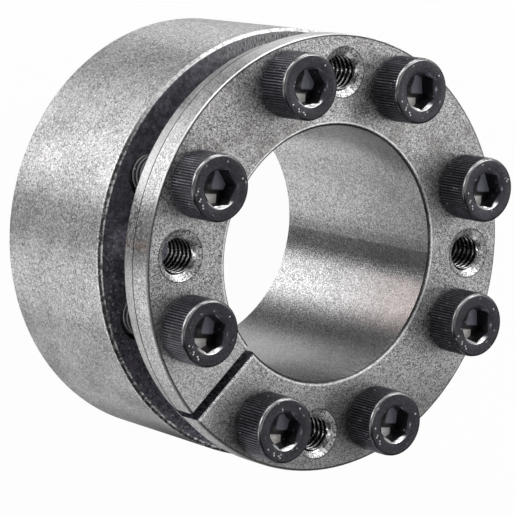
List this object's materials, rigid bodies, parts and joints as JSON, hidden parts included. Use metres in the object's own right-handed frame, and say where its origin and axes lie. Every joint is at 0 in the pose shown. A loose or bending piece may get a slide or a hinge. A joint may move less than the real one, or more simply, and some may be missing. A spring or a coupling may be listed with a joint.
{
  "type": "keyless locking assembly",
  "caption": "Flanged keyless locking assembly: a slit, tapered inner ring is drawn into a slit outer ring by socket-head cap screws, clamping a shaft in a hub.",
  "frame": {"origin": "on the axis, in the plane of the outer ring's back face, which the part stands on", "axes": "+Z along the axis, from the outer ring to the flange and the screw heads; +X through a push-off hole"},
  "size_m": [0.065, 0.065, 0.0432],
  "materials": {
    "outer_ring_steel": "bare turned steel, matte grey with a fine mottle",
    "inner_ring_steel": "bare turned steel, matte grey, with a finer bore",
    "screw_steel": "black oxide steel, oiled satin"
  },
  "bodies": {
    "outer_ring": {"outer_ring": "outer_ring_steel"},
    "inner_ring": {"inner_ring": "inner_ring_steel"},
    "clamp_screw_1": {"clamp_screw_1": "screw_steel"},
    "clamp_screw_2": {"clamp_screw_2": "screw_steel"},
    "clamp_screw_3": {"clamp_screw_3": "screw_steel"},
    "clamp_screw_4": {"clamp_screw_4": "screw_steel"},
    "clamp_screw_5": {"clamp_screw_5": "screw_steel"},
    "clamp_screw_6": {"clamp_screw_6": "screw_steel"},
    "clamp_screw_7": {"clamp_screw_7": "screw_steel"},
    "clamp_screw_8": {"clamp_screw_8": "screw_steel"}
  },
  "joints": [
    {"name": "draw_in", "type": "slide", "parent": "outer_ring", "child": "inner_ring", "axis": [0, 0, -1], "range_m": [0, 0.00175]},
    {"name": "clamp_screw_1_turn", "type": "hinge", "parent": "inner_ring", "child": "clamp_screw_1", "pos_m": [0.02478, 0.01026, 0.0374], "axis": [0, 0, -1], "range_deg": [0, 630]},
    {"name": "clamp_screw_2_turn", "type": "hinge", "parent": "inner_ring", "child": "clamp_screw_2", "pos_m": [0.01026, 0.02478, 0.0374], "axis": [0, 0, -1], "range_deg": [0, 630]},
    {"name": "clamp_screw_3_turn", "type": "hinge", "parent": "inner_ring", "child": "clamp_screw_3", "pos_m": [-0.01026, 0.02478, 0.0374], "axis": [0, 0, -1], "range_deg": [0, 630]},
    {"name": "clamp_screw_4_turn", "type": "hinge", "parent": "inner_ring", "child": "clamp_screw_4", "pos_m": [-0.02478, 0.01026, 0.0374], "axis": [0, 0, -1], "range_deg": [0, 630]},
    {"name": "clamp_screw_5_turn", "type": "hinge", "parent": "inner_ring", "child": "clamp_screw_5", "pos_m": [-0.02478, -0.01026, 0.0374], "axis": [0, 0, -1], "range_deg": [0, 630]},
    {"name": "clamp_screw_6_turn", "type": "hinge", "parent": "inner_ring", "child": "clamp_screw_6", "pos_m": [-0.01026, -0.02478, 0.0374], "axis": [0, 0, -1], "range_deg": [0, 630]},
    {"name": "clamp_screw_7_turn", "type": "hinge", "parent": "inner_ring", "child": "clamp_screw_7", "pos_m": [0.01026, -0.02478, 0.0374], "axis": [0, 0, -1], "range_deg": [0, 630]},
    {"name": "clamp_screw_8_turn", "type": "hinge", "parent": "inner_ring", "child": "clamp_screw_8", "pos_m": [0.02478, -0.01026, 0.0374], "axis": [0, 0, -1], "range_deg": [0, 630]}
  ],
  "couplings": [
    {"joint": "clamp_screw_1_turn", "follows": "draw_in", "rad_per_m": 6283.2},
    {"joint": "clamp_screw_2_turn", "follows": "draw_in", "rad_per_m": 6283.2},
    {"joint": "clamp_screw_3_turn", "follows": "draw_in", "rad_per_m": 6283.2},
    {"joint": "clamp_screw_4_turn", "follows": "draw_in", "rad_per_m": 6283.2},
    {"joint": "clamp_screw_5_turn", "follows": "draw_in", "rad_per_m": 6283.2},
    {"joint": "clamp_screw_6_turn", "follows": "draw_in", "rad_per_m": 6283.2},
    {"joint": "clamp_screw_7_turn", "follows": "draw_in", "rad_per_m": 6283.2},
    {"joint": "clamp_screw_8_turn", "follows": "draw_in", "rad_per_m": 6283.2}
  ]
}
